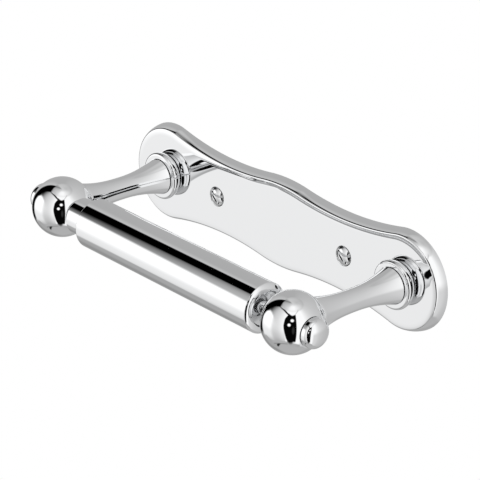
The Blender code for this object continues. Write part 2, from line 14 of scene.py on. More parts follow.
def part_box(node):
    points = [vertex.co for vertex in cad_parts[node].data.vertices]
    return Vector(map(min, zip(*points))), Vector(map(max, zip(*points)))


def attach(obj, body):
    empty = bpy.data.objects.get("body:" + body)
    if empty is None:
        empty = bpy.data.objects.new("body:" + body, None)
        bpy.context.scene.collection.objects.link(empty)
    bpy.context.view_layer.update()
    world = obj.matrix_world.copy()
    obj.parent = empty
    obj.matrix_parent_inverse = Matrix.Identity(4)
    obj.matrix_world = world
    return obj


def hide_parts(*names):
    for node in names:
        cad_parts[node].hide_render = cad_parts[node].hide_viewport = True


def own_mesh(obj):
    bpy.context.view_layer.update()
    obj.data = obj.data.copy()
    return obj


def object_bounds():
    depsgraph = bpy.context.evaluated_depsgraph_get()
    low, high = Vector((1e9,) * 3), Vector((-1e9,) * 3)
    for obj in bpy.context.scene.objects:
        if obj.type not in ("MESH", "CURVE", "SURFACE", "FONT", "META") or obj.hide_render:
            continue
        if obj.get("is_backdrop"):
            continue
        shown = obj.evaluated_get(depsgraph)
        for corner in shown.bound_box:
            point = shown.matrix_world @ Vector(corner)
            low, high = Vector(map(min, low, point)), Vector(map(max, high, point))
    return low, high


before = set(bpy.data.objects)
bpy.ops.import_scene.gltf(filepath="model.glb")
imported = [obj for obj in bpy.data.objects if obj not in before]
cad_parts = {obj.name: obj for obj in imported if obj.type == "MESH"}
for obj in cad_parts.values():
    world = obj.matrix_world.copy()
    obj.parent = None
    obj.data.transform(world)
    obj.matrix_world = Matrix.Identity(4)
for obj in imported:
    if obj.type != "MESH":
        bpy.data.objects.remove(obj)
CAD_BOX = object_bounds()

X, Y, Z = 0, 1, 2


def low(node, axis):
    """The node's lowest coordinate along an axis."""
    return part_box(node)[0][axis]


def high(node, axis):
    """The node's highest coordinate along an axis."""
    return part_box(node)[1][axis]


def middle(node, axis):
    """The middle of the node along an axis."""
    return (low(node, axis) + high(node, axis)) / 2


# Layout
SIDES = {"left": -1, "right": 1}
ARM_X = middle("arm_right", X)
ROLLER_Y = middle("roller_outer_tube", Y)
SEAT_GAP = 0.0003  # between two pieces that bear on each other
OVERRUN = 0.002  # how far a cutting shape passes the face that it opens
WELD = 1e-7  # points nearer than this are one
SLIVER = 1e-6  # a triangle less high than this is taken out of a filled face
EASE = 0.00015  # how far along each side a turned corner starts to round
EASE_STEPS = 8
EASE_ROOM_SHARE = 0.4  # most of the way to the next corner that the rounding may take
SUPPORT_SHARE = 0.3  # of the rounding, to the flat's first point
CORNER_TURN = radians(18)  # a profile that turns more than this has a corner
SHARP_ANGLE = radians(32)  # between two faces that aren't shaded as one
ARC_STEP = 0.0003  # between two points of a profile's arc
OUTLINE_STEP = 0.0005  # between two points of the plate's outline
ARC_LEAST_STEPS = 16
OUT = (0, -1, 0)  # away from the wall

# Back plate: an outline of arcs that touch, and an edge that leans in, turns a corner and runs out
PLATE_T = -low("back_plate", Y)
LOBE_R = high("back_plate", X) - ARM_X
WAIST_R = 0.150
BULGE_R = 0.0765
MIDDLE_HALF_HEIGHT = 0.02085
WALL_BACK_LEAN = radians(4)
WALL_FRONT_LEAN = radians(29)
CORNER_R = 0.0012
CROWN_R = 0.0135
CROWN_SLOPE = radians(10)
FACE_MARGIN = 0.0002  # from a curve to the flat's first points

# Wall screws
WALL_SCREW_X = middle("wall_screw_right", X)
WALL_SCREW_R = high("wall_screw_right", X) - WALL_SCREW_X
WALL_SCREW_DOME = -low("wall_screw_right", Y) - PLATE_T
WALL_SCREW_TIP = high("wall_screw_right", Y)
WALL_SCREW_SHANK_R = 0.0020
WALL_SCREW_POINT = 0.005
WALL_SCREW_PLAIN = 0.0075  # of the shank, before the thread
WALL_SCREW_PITCH = 0.0018
WALL_SCREW_CORE_R = 0.0014
WALL_SCREW_CREST = 0.45  # width of the thread's ridge, as a share of the pitch
THREAD_STEP = 0.00006  # along the thread, between two rings of points
SLOT_WIDTH = 0.0010
SLOT_DEPTH = 0.0013
SLOT_TURN = radians(-45)

# Base collar: a bead with a short front and a long back
COLLAR_BACK = -high("base_collar_right", Y)
COLLAR_FRONT = -low("base_collar_right", Y)
COLLAR_R = 0.01093
BEAD_FRONT_R = 0.0013
BEAD_BACK_R = 0.0044
COLLAR_BORE_R = 0.0053

# Arm
ARM_FOOT = COLLAR_FRONT + SEAT_GAP
ARM_FOOT_R = 0.0083
ARM_WAIST_R = 0.0050
ARM_LIP_R = 0.0076
ARM_LIP_LENGTH = 0.0009
ARM_WAIST_SHARE = 0.5  # of the way from the foot to the lip
FOOT_POWER = 2.15  # of the flare from the waist to the foot
LIP_POWER = 2.5
SPIGOT_R = 0.0030
SPIGOT_LENGTH = 0.0080
ARM_SEAT = -low("arm_right", Y) - SPIGOT_LENGTH

# Arm screw and its split washer
ARM_SCREW_R = 0.0025
ARM_SCREW_CORE_R = 0.0021
ARM_SCREW_PITCH = 0.0008
ARM_SCREW_CREST = 1
ARM_SCREW_POINT = 0.0006
ARM_SCREW_HEAD_HEIGHT = 0.0020
ARM_SCREW_TIP = -low("arm_screw_right", Y)
ARM_SCREW_HEAD_BACK = -high("arm_screw_right", Y)
ARM_SCREW_HEAD_R = high("arm_screw_right", X) - ARM_X
ARM_SCREW_HEAD_FRONT = ARM_SCREW_HEAD_BACK + ARM_SCREW_HEAD_HEIGHT
SOCKET_SIDES = 6
SOCKET_R = 0.0023
SOCKET_DEPTH = 0.0012
WASHER_BACK = -high("arm_lock_washer_right", Y)
WASHER_FRONT = -low("arm_lock_washer_right", Y)
WASHER_R = 0.0046
WASHER_SPLIT = 0.0009
WASHER_SLANT = radians(25)
COUNTERBORE_R = 0.0050

# Ball and finial, whose heights run outwards from the ball's centre
BALL_R = high("ball_right", Z)
BALL_ARM_FLAT_R = 0.0080
BALL_FINIAL_FLAT_R = 0.0069
BALL_ROLLER_FLAT_R = 0.00485
PIN_SOCKET_CLEARANCE = 0.0005
BALL_ARM_FLAT = sqrt(BALL_R**2 - BALL_ARM_FLAT_R**2)
BALL_FINIAL_FLAT = sqrt(BALL_R**2 - BALL_FINIAL_FLAT_R**2)
BALL_ROLLER_FLAT = sqrt(BALL_R**2 - BALL_ROLLER_FLAT_R**2)
FINIAL_R = high("finial_right", Z)
FINIAL_TOP = high("finial_right", X) - ARM_X
FINIAL_DOME = 0.0040
FINIAL_SPIGOT_R = 0.0027
FINIAL_SPIGOT_LENGTH = 0.0060

# Roller, whose heights are places along X
OUTER_R = high("roller_outer_tube", Z)
OUTER_LEFT = low("roller_outer_tube", X)
OUTER_RIGHT = high("roller_outer_tube", X)
OUTER_WALL = 0.0007
OUTER_LIP = 0.0008
SHOULDER_START = 0.0006  # from the tube's right end, where it starts to turn in
SHOULDER_RISE = 0.0011  # of the turned-in edge past that end
SHOULDER_EDGE_R = 0.0080
SHOULDER_POWER = 1.3  # 1 is a quarter of an ellipse and 2 a cone
INNER_LEFT = low("roller_inner_tube", X)
INNER_RIGHT = high("roller_inner_tube", X)
INNER_R = 0.0082
INNER_WALL = 0.0007
INNER_FLARE = 0.0020
INNER_LAND = 0.0008
PIN_R = 0.0030
PIN_CHAMFER = 0.0005
PIN_TIP = high("roller_outer_plug", X)
OUTER_PLUG_BACK = low("roller_outer_plug", X)
PLUG_STEP = 0.0017  # from the tube's straight end back to where the plug fills it
FACE_RECESS = 0.0011  # of the plug's face below the tube's turned-in edge
FACE_CROWN = 0.0002
FACE_CLEARANCE = 0.0005
INNER_PLUG_FACE = high("roller_inner_plug", X)
SPRING_R = 0.0065
SPRING_WIRE_R = 0.0006
SPRING_TURNS = 24
SPRING_CLOSE_TURNS = 1  # at each end
SPRING_CLOSE_GAP = 0.0005

# Facets round a turned piece, over a dome and along a coil
TURN_STEPS = 256
SMALL_TURN_STEPS = 128
DOME_STEPS = 48
COIL_STEPS_PER_TURN = 40
WIRE_STEPS = 14

# The studio
TENT_CENTRE = (0, -0.04, 0)
TENT_RADIUS = 4
TENT_STEPS = 480
FLOOR_DROP = 0.85
FLOOR_HALF_SIZE = 6
FLOOR_SQUARES = 8
FLOOR_COLOUR = (0.9, 0.9, 0.9)
FLOOR_ROUGHNESS = 0.9
WORLD_LIGHT = 0.6
SOFT_LAMPS = (("left_lamp", (-0.9, -1.2, 1.3), 12), ("right_lamp", (1.1, -0.8, 1.4), 9))
LAMP_SIZE = 0.9

# The camera, fitted to the photograph, with its direction in degrees
CAMERA_AZIMUTH = 47.62
CAMERA_ELEVATION = 24.08
CAMERA_ROLL = radians(1.61)
CAMERA_DISTANCE = 1.1774
CAMERA_TARGET = Vector((0.004875, -0.03279, 0.002415))
CAMERA_LENS = 205.5
CAMERA_SENSOR = 36
CAMERA_CLIP = (0.05, 20)

# Metal: its tones drift, its roughness varies in fine marks, and its surface is a little wavy
TONE_DETAIL = 3
MARKS_DETAIL = 4
MARKS_SCALE = 600
MARKS_SPREAD = (0.3, 0.7)
WAVE_DETAIL = 1


def finish(name, tones, roughness, tone_scale=8, waviness=2e-6, wave_scale=110):
    """Make a metal: its colour drifts slowly between two tones, its roughness with fine handling
    marks, and a bump of a few thousandths of a millimetre bends the reflections a little."""
    material = bpy.data.materials.new(name)
    material["slot"] = name
    material.use_nodes = True
    nodes = material.node_tree.nodes
    link = material.node_tree.links.new
    shader = nodes["Principled BSDF"]
    shader.inputs["Metallic"].default_value = 1
    place = nodes.new("ShaderNodeTexCoord").outputs["Object"]

    def noise(scale, detail):
        texture = nodes.new("ShaderNodeTexNoise")
        texture.inputs["Scale"].default_value = scale
        texture.inputs["Detail"].default_value = detail
        link(place, texture.inputs["Vector"])
        return texture.outputs["Fac"]

    tone = nodes.new("ShaderNodeMix")
    tone.data_type = "RGBA"
    link(noise(tone_scale, TONE_DETAIL), tone.inputs["Factor"])
    tone.inputs["A"].default_value = (*tones[0], 1)
    tone.inputs["B"].default_value = (*tones[1], 1)
    link(tone.outputs["Result"], shader.inputs["Base Color"])

    marks = nodes.new("ShaderNodeMapRange")
    marks.inputs["From Min"].default_value, marks.inputs["From Max"].default_value = MARKS_SPREAD
    marks.inputs["To Min"].default_value, marks.inputs["To Max"].default_value = roughness
    link(noise(MARKS_SCALE, MARKS_DETAIL), marks.inputs["Value"])
    link(marks.outputs["Result"], shader.inputs["Roughness"])

    bump = nodes.new("ShaderNodeBump")
    bump.inputs["Strength"].default_value = 1
    bump.inputs["Distance"].default_value = waviness
    link(noise(wave_scale, WAVE_DETAIL), bump.inputs["Height"])
    link(bump.outputs["Normal"], shader.inputs["Normal"])
    return material


CHROME = finish("polished_chrome", ((0.87, 0.875, 0.88), (0.855, 0.86, 0.868)), (0.015, 0.03))
TUBE_CHROME = finish("roller_chrome", ((0.865, 0.87, 0.876), (0.85, 0.855, 0.862)), (0.02, 0.04))
PLUG_CHROME = finish("plug_chrome", ((0.82, 0.825, 0.83), (0.78, 0.785, 0.795)), (0.08, 0.14))
SCREW_CHROME = finish("screw_chrome", ((0.86, 0.865, 0.87), (0.84, 0.845, 0.85)), (0.025, 0.05))
ZINC = finish(
    "zinc_steel",
    ((0.66, 0.67, 0.69), (0.56, 0.57, 0.6)),
    (0.24, 0.38),
    tone_scale=240,
    waviness=6e-6,
    wave_scale=900,
)
SPRING_STEEL = finish(
    "spring_steel",
    ((0.47, 0.47, 0.48), (0.4, 0.4, 0.41)),
    (0.2, 0.32),
    tone_scale=300,
    waviness=4e-6,
    wave_scale=1500,
)


def put_in_scene(name, data):
    """A new object, linked to the scene."""
    item = bpy.data.objects.new(name, data)
    bpy.context.scene.collection.objects.link(item)
    return item


def as_mesh(name, shape):
    """Make a bmesh into a mesh, and free it."""
    mesh = bpy.data.meshes.new(name)
    shape.to_mesh(mesh)
    shape.free()
    return mesh


def grid_mesh(name, grid):
    """A mesh of four-cornered faces over a grid of points, (rows, columns, 3)."""
    rows, columns = grid.shape[:2]
    at = np.arange(rows * columns).reshape(rows, columns)
    corners = np.stack([at[:-1, :-1], at[1:, :-1], at[1:, 1:], at[:-1, 1:]], axis=-1)
    mesh = bpy.data.meshes.new(name)
    mesh.from_pydata(grid.reshape(-1, 3).tolist(), [], corners.reshape(-1, 4).tolist())
    return mesh


def mesh_from(name, grids, flats=()):
    """Join grids of points into one closed mesh whose faces point out. Rows, columns and poles
    that meet are welded. flats holds the places along Y where the open edges of an outline and
    its holes are filled with a flat face."""
    shape = bmesh.new()
    for grid in grids:
        patch = grid_mesh(name, grid)
        shape.from_mesh(patch)
        bpy.data.meshes.remove(patch)
    bmesh.ops.remove_doubles(shape, verts=shape.verts, dist=WELD)
    for place in flats:
        rims = [edge for edge in shape.edges if edge.is_boundary]
        rims = [edge for edge in rims if all(abs(vert.co.y - place) < WELD for vert in edge.verts)]
        filled = bmesh.ops.triangle_fill(shape, use_beauty=True, edges=rims)["geom"]
        inner = [edge for edge in filled if isinstance(edge, bmesh.types.BMEdge)]
        bmesh.ops.dissolve_degenerate(shape, dist=SLIVER, edges=rims + inner)
    bmesh.ops.recalc_face_normals(shape, faces=shape.faces)
    if shape.calc_volume(signed=True) < 0:
        bmesh.ops.reverse_faces(shape, faces=shape.faces)
    return as_mesh(name, shape)


def cut(mesh, tool):
    """Take a closed tool away from a closed mesh."""
    blank = put_in_scene("blank", mesh)
    cutter = put_in_scene("cutter", tool)
    difference = blank.modifiers.new("Cut", "BOOLEAN")
    difference.operation = "DIFFERENCE"
    difference.solver = "EXACT"
    difference.object = cutter
    graph = bpy.context.evaluated_depsgraph_get()
    result = bpy.data.meshes.new_from_object(blank.evaluated_get(graph))
    for item in (blank, cutter):
        bpy.data.objects.remove(item)
    return result


def dress(name, mesh, material, body, node):
    """Put a finished mesh in the scene in place of its node, smooth but for its sharp edges."""
    mesh.name = name
    mesh.materials.clear()
    mesh.materials.append(material)
    mesh.shade_smooth()
    mesh.set_sharp_from_angle(angle=SHARP_ANGLE)
    piece = put_in_scene(name, mesh)
    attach(piece, body)
    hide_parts(node)
    return piece


def arc(centre, radius, start, end, step=ARC_STEP):
    """Points along an arc, both ends included."""
    count = max(int(radius * abs(end - start) / step), ARC_LEAST_STEPS) + 1
    angle = np.linspace(start, end, count)
    return np.stack([centre[0] + radius * np.cos(angle), centre[1] + radius * np.sin(angle)], axis=-1)


def profile(*stretches, closed=False):
    """Join points and arcs, and ease every corner into a parabola that is tangent to both sides:
    at share t it lies at (1-t)^2 start + 2t(1-t) corner + t^2 end. A closed profile starts in the
    middle of its last side. A point beside each eased corner keeps the flats flat."""
    points = np.vstack([np.atleast_2d(np.array(stretch, float)) for stretch in stretches])
    if closed:
        start = (points[:1] + points[-1:]) / 2
        points = np.vstack([start, points, start])
    apart = np.hypot(*np.diff(points, axis=0).T) > WELD
    points = points[np.r_[True, apart]]
    side = np.diff(points, axis=0)
    length = np.hypot(*side.T)
    along = np.r_[0, np.cumsum(length)]
    heading = side / length[:, None]
    turn = np.arccos(np.clip((heading[:-1] * heading[1:]).sum(axis=1), -1, 1))
    corner = along[1:-1][turn > CORNER_TURN]
    room = np.diff(np.r_[0, corner, along[-1]])
    reach = np.minimum(EASE, EASE_ROOM_SHARE * np.minimum(room[:-1], room[1:]))
    beyond = (1 + SUPPORT_SHARE) * reach

    def spot(distance):
        return np.stack([np.interp(distance, along, points[:, axis]) for axis in (0, 1)], axis=-1)

    plain = along[(np.abs(along[:, None] - corner) > beyond).all(axis=1)]
    beside = np.r_[corner - beyond, corner - reach, corner + reach, corner + beyond]
    share = np.linspace(0, 1, EASE_STEPS + 1)[1:-1, None]
    t = share[..., None]
    eased = (1 - t) ** 2 * spot(corner - reach) + 2 * t * (1 - t) * spot(corner)
    eased += t**2 * spot(corner + reach)
    order = np.argsort(np.r_[plain, beside, (corner + (2 * share - 1) * reach).ravel()])
    return np.vstack([spot(plain), spot(beside), eased.reshape(-1, 2)])[order]


def turned(points, centre, axis, steps=TURN_STEPS, radius_share=None):
    """Turn a profile of (radius, height) about an axis: the point at angle a lies at
    centre + height * axis + radius * (cos a * side + sin a * up)."""
    angle = np.linspace(0, 2 * pi, steps + 1)
    side = np.cross((0, 0, 1), axis)
    ring = np.cos(angle)[:, None] * side + np.sin(angle)[:, None] * np.array((0, 0, 1))
    radius = np.broadcast_to(points[:, :1], (len(points), steps + 1))
    if radius_share is not None:
        radius = radius * radius_share(points[:, 1:], angle)
    height = points[:, 1][:, None, None]
    return np.array(centre) + height * np.array(axis, float) + radius[..., None] * ring


def thread(start, end, pitch, core_share, crest_width):
    """A screw thread as a share of the blank's radius. Along the height it is a ridge, a straight
    rise and fall of crest_width of a pitch, that climbs one pitch a turn and fades in over one."""

    def share(height, angle):
        phase = np.mod(height / pitch - angle / (2 * pi), 1)
        ridge = np.clip(1 - np.abs(2 * phase - 1) / crest_width, 0, 1)
        fade = np.clip((height - start) / pitch, 0, 1) * np.clip((end - height) / pitch, 0, 1)
        return 1 - (1 - core_share) * fade * (1 - ridge)

    return share


def along_wire(path, wire_radius, steps):
    """Carry a circle along a path, square to it: centre + radius * (cos a * across + sin a * up).
    A point at each end closes it."""
    ahead = np.gradient(path, axis=0)
    ahead /= np.linalg.norm(ahead, axis=1)[:, None]
    across = np.cross(ahead, (1, 0, 0))
    across /= np.linalg.norm(across, axis=1)[:, None]
    up = np.cross(ahead, across)
    angle = np.linspace(0, 2 * pi, steps + 1)[None, :, None]
    tube = path[:, None] + wire_radius * (np.cos(angle) * across[:, None] + np.sin(angle) * up[:, None])
    caps = np.broadcast_to(path[[0, -1], None], (2, steps + 1, 3))
    return np.concatenate([caps[:1], tube, caps[1:]])


def waist_centre():
    """The centre of the upper right waist arc, which touches the lobe and the bulge."""
    bulge_z = MIDDLE_HALF_HEIGHT - BULGE_R
    to_lobe = LOBE_R + WAIST_R
    to_bulge = BULGE_R + WAIST_R
    span = hypot(ARM_X, bulge_z)
    along = (to_lobe**2 - to_bulge**2 + span**2) / (2 * span)
    aside = sqrt(to_lobe**2 - along**2)
    step_x, step_z = -ARM_X / span, bulge_z / span
    return ARM_X + along * step_x + aside * step_z, along * step_z - aside * step_x


def plate_outline():
    """Points round the plate and the directions out from it, (x, z) each, ending where they start.
    A quarter is three arcs that touch; the other quarters mirror it."""
    bulge_z = MIDDLE_HALF_HEIGHT - BULGE_R
    waist_x, waist_z = waist_centre()
    lobe_end = atan2(waist_z, waist_x - ARM_X)
    bulge_start = atan2(waist_z - bulge_z, waist_x)
    arcs = [
        ((ARM_X, 0), LOBE_R, 0, lobe_end, 1),
        ((waist_x, waist_z), WAIST_R, lobe_end - pi, bulge_start - pi, -1),
        ((0, bulge_z), BULGE_R, bulge_start, pi / 2, 1),
    ]
    quarter, outward = [], []
    for centre, radius, start, end, sense in arcs:
        points = arc(centre, radius, start, end, OUTLINE_STEP)
        quarter.append(points[:-1])
        outward.append(sense * (points[:-1] - centre) / radius)
    quarter, outward = np.vstack(quarter), np.vstack(outward)
    quarters = []
    for line, tip in ((quarter, (0, MIDDLE_HALF_HEIGHT)), (outward, (0, 1))):
        upper = np.vstack([line, [tip], line[:0:-1] * (-1, 1)])
        lower = np.vstack([line[:1] * (-1, 1), line[1:] * (-1, -1), [(tip[0], -tip[1])]])
        quarters.append(np.vstack([upper, lower, line[::-1] * (1, -1)]))
    return quarters


def make_back_plate():
    """The plate: its edge, as offset and height, is carried along the outline. Three arcs that touch
    make it: the side wall, whose lean grows, the corner, and the crown that runs out into the face.
    Two holes are countersunk and two counterbored."""
    outline, outward = plate_outline()
    crown_lean = pi / 2 - CROWN_SLOPE
    corner_rise = CORNER_R * (sin(crown_lean) - sin(WALL_FRONT_LEAN))
    wall_rise = PLATE_T - corner_rise - CROWN_R * (1 - sin(crown_lean))
    wall_r = wall_rise / (sin(WALL_FRONT_LEAN) - sin(WALL_BACK_LEAN))
    leans = (WALL_BACK_LEAN, WALL_FRONT_LEAN, crown_lean, pi / 2)
    edge = [np.zeros((1, 2))]
    for radius, start, end in zip((wall_r, CORNER_R, CROWN_R), leans[:-1], leans[1:]):
        centre = edge[-1][-1] - radius * np.array((cos(start), sin(start)))
        edge.append(arc(centre, radius, start, end))
    section = profile([(-FACE_MARGIN - EASE, 0)], *edge)
    section = np.vstack([section, section[-1:] - (FACE_MARGIN, 0)])
    across = outline[None] + section[:, :1, None] * outward[None]
    depth = np.broadcast_to(-section[:, 1:], across.shape[:2])
    grids = [np.stack([across[..., 0], depth, across[..., 1]], axis=-1)]

    hole = WALL_SCREW_SHANK_R + SEAT_GAP
    mouth = WALL_SCREW_R + SEAT_GAP * sqrt(2)
    countersink = profile(
        [(mouth + FACE_MARGIN + EASE, PLATE_T), (mouth, PLATE_T), (hole, PLATE_T - (mouth - hole))],
        [(hole, 0), (hole + FACE_MARGIN + EASE, 0)],
    )
    bore = ARM_SCREW_R + SEAT_GAP
    counterbore_end = WASHER_FRONT + SEAT_GAP
    counterbore = profile(
        [(bore + FACE_MARGIN + EASE, PLATE_T), (bore, PLATE_T), (bore, counterbore_end)],
        [(COUNTERBORE_R, counterbore_end), (COUNTERBORE_R, 0), (COUNTERBORE_R + FACE_MARGIN + EASE, 0)],
    )
    for side in SIDES.values():
        grids.append(turned(countersink, (side * WALL_SCREW_X, 0, 0), OUT, SMALL_TURN_STEPS))
        grids.append(turned(counterbore, (side * ARM_X, 0, 0), OUT, SMALL_TURN_STEPS))
    mesh = mesh_from("plate", grids, flats=(-PLATE_T, 0))
    dress("polished_back_plate", mesh, CHROME, "holder", "back_plate")


def box(size, place):
    """A box of a size, with its middle at a place."""
    shape = bmesh.new()
    bmesh.ops.create_cube(shape, size=1, matrix=place @ Matrix.Diagonal((*size, 1)))
    return as_mesh("box", shape)


def make_wall_screws():
    """Two wood screws: a slotted dome on a countersunk cone, a plain shank, a thread and a point."""
    dome_centre = WALL_SCREW_DOME / 2 - WALL_SCREW_R**2 / (2 * WALL_SCREW_DOME)
    dome_radius = WALL_SCREW_DOME - dome_centre
    rim = atan2(-dome_centre, WALL_SCREW_R)
    tip = -PLATE_T - WALL_SCREW_TIP
    cone_end = WALL_SCREW_SHANK_R - WALL_SCREW_R
    thread_start = cone_end - WALL_SCREW_PLAIN
    blank = profile(
        arc((0, dome_centre), dome_radius, pi / 2, rim),
        [(WALL_SCREW_SHANK_R, cone_end), (WALL_SCREW_SHANK_R, thread_start)],
    )
    heights = np.arange(thread_start - THREAD_STEP, tip, -THREAD_STEP)
    taper = np.clip((heights - tip) / WALL_SCREW_POINT, 0, 1)
    blank = np.vstack([blank, np.stack([WALL_SCREW_SHANK_R * taper, heights], axis=-1), [(0, tip)]])
    core_share = WALL_SCREW_CORE_R / WALL_SCREW_SHANK_R
    ridge = thread(-thread_start, -tip, WALL_SCREW_PITCH, core_share, WALL_SCREW_CREST)
    slot_size = (2 * (WALL_SCREW_R + OVERRUN), 2 * SLOT_DEPTH, SLOT_WIDTH)
    for name, side in SIDES.items():
        centre = (side * WALL_SCREW_X, -PLATE_T, 0)
        grid = turned(blank, centre, OUT, SMALL_TURN_STEPS, lambda height, angle: ridge(-height, angle))
        top = Matrix.Translation((centre[X], centre[Y] - WALL_SCREW_DOME, 0))
        slot = box(slot_size, top @ Matrix.Rotation(-SLOT_TURN, 4, "Y"))
        mesh = cut(mesh_from("screw", [grid]), slot)
        dress("slotted_wall_screw_" + name, mesh, SCREW_CHROME, "holder", "wall_screw_" + name)


def make_base_collars():
    """Two collars: a bead with a short front and a long back, and a bore for the arm's tenon."""
    crest = COLLAR_FRONT - BEAD_FRONT_R
    points = profile(
        arc((COLLAR_R - BEAD_FRONT_R, crest), BEAD_FRONT_R, pi / 2, 0),
        arc((COLLAR_R - BEAD_BACK_R, crest), BEAD_BACK_R, 0, -asin((crest - COLLAR_BACK) / BEAD_BACK_R)),
        [(COLLAR_BORE_R, COLLAR_BACK), (COLLAR_BORE_R, COLLAR_FRONT)],
        closed=True,
    )
    for name, side in SIDES.items():
        mesh = mesh_from("collar", [turned(points, (side * ARM_X, 0, 0), OUT)])
        dress("beaded_collar_" + name, mesh, CHROME, "holder", "base_collar_" + name)


def flare(start, end, start_radius, power):
    """A flare from start to the waist: the radius is the waist's, plus the rest as a power of the
    share of the way that is left."""
    share = np.linspace(0, 1, int(abs(end - start) / ARC_STEP) + 1)
    radius = ARM_WAIST_R + (start_radius - ARM_WAIST_R) * (1 - share) ** power
    return np.stack([radius, start + (end - start) * share], axis=-1)


def make_arms():
    """Two arms: spigot, lip, two flares that meet at the waist, foot, tenon and a blind bore."""
    lip_back = ARM_SEAT - ARM_LIP_LENGTH
    waist = ARM_FOOT + (lip_back - ARM_FOOT) * ARM_WAIST_SHARE
    tenon = COLLAR_BORE_R - SEAT_GAP
    bore = ARM_SCREW_R + SEAT_GAP
    bore_end = ARM_SCREW_TIP + SEAT_GAP
    points = profile(
        [(0, ARM_SEAT + SPIGOT_LENGTH), (SPIGOT_R, ARM_SEAT + SPIGOT_LENGTH), (SPIGOT_R, ARM_SEAT)],
        [(ARM_LIP_R, ARM_SEAT)],
        flare(lip_back, waist, ARM_LIP_R, LIP_POWER),
        flare(ARM_FOOT, waist, ARM_FOOT_R, FOOT_POWER)[-2::-1],
        [(tenon, ARM_FOOT), (tenon, COLLAR_BACK), (bore, COLLAR_BACK), (bore, bore_end), (0, bore_end)],
    )
    for name, side in SIDES.items():
        mesh = mesh_from("arm", [turned(points, (side * ARM_X, 0, 0), OUT)])
        dress("turned_arm_" + name, mesh, CHROME, "holder", "arm_" + name)


def make_arm_screws():
    """Two machine screws from behind the plate, with a hexagon socket and a thread."""
    thread_end = ARM_SCREW_TIP - ARM_SCREW_POINT
    shank = profile(
        [(0, ARM_SCREW_HEAD_BACK), (ARM_SCREW_HEAD_R, ARM_SCREW_HEAD_BACK)],
        [(ARM_SCREW_HEAD_R, ARM_SCREW_HEAD_FRONT), (ARM_SCREW_R, ARM_SCREW_HEAD_FRONT)],
        [(ARM_SCREW_R, COLLAR_BACK)],
    )
    heights = np.arange(COLLAR_BACK + THREAD_STEP, thread_end, THREAD_STEP)
    threaded = np.stack([np.full_like(heights, ARM_SCREW_R), heights], axis=-1)
    point = [(ARM_SCREW_R, thread_end), (ARM_SCREW_R - ARM_SCREW_POINT, ARM_SCREW_TIP), (0, ARM_SCREW_TIP)]
    blank = np.vstack([shank, threaded, point])
    core_share = ARM_SCREW_CORE_R / ARM_SCREW_R
    ridge = thread(COLLAR_BACK, thread_end, ARM_SCREW_PITCH, core_share, ARM_SCREW_CREST)
    for name, side in SIDES.items():
        centre = (side * ARM_X, 0, 0)
        mesh = mesh_from("screw", [turned(blank, centre, OUT, SMALL_TURN_STEPS, ridge)])
        head = Matrix.Translation((centre[X], -ARM_SCREW_HEAD_BACK, 0))
        shape = bmesh.new()
        bmesh.ops.create_cone(
            shape,
            cap_ends=True,
            segments=SOCKET_SIDES,
            radius1=SOCKET_R,
            radius2=SOCKET_R,
            depth=2 * SOCKET_DEPTH,
            matrix=head @ Matrix.Rotation(pi / 2, 4, "X"),
        )
        mesh = cut(mesh, as_mesh("socket", shape))
        dress("socket_screw_" + name, mesh, ZINC, "holder", "arm_screw_" + name)


def capped(rows, first, last):
    """Add a row of one value before the rows and another after them, which closes their ends."""
    return np.vstack([np.full_like(rows[:1], first), rows, np.full_like(rows[:1], last)])


def make_lock_washers():
    """Two spring washers: a rounded rectangle carried round the screw from one side of a slanted
    split to the other, and closed at both ends by a point in its middle."""
    bore = ARM_SCREW_R + SEAT_GAP
    mean_radius = (bore + WASHER_R) / 2
    mean_height = (WASHER_BACK + WASHER_FRONT) / 2
    section = profile(
        [(WASHER_R, WASHER_FRONT), (WASHER_R, WASHER_BACK), (bore, WASHER_BACK), (bore, WASHER_FRONT)],
        closed=True,
    )
    radius, height = section.T
    lean = np.tan(WASHER_SLANT) * (height - mean_height) / mean_radius
    half_split = WASHER_SPLIT / (2 * mean_radius)
    share = np.linspace(0, 1, SMALL_TURN_STEPS)[:, None]
    angle = half_split + share * 2 * (pi - half_split) + lean
    radius = capped(np.broadcast_to(radius, angle.shape), mean_radius, mean_radius)
    height = capped(np.broadcast_to(height, angle.shape), mean_height, mean_height)
    angle = capped(angle, half_split, 2 * pi - half_split)
    for name, side in SIDES.items():
        across = side * ARM_X + radius * np.cos(angle)
        mesh = mesh_from("washer", [np.stack([across, -height, radius * np.sin(angle)], axis=-1)])
        dress("spring_washer_" + name, mesh, ZINC, "holder", "arm_lock_washer_" + name)


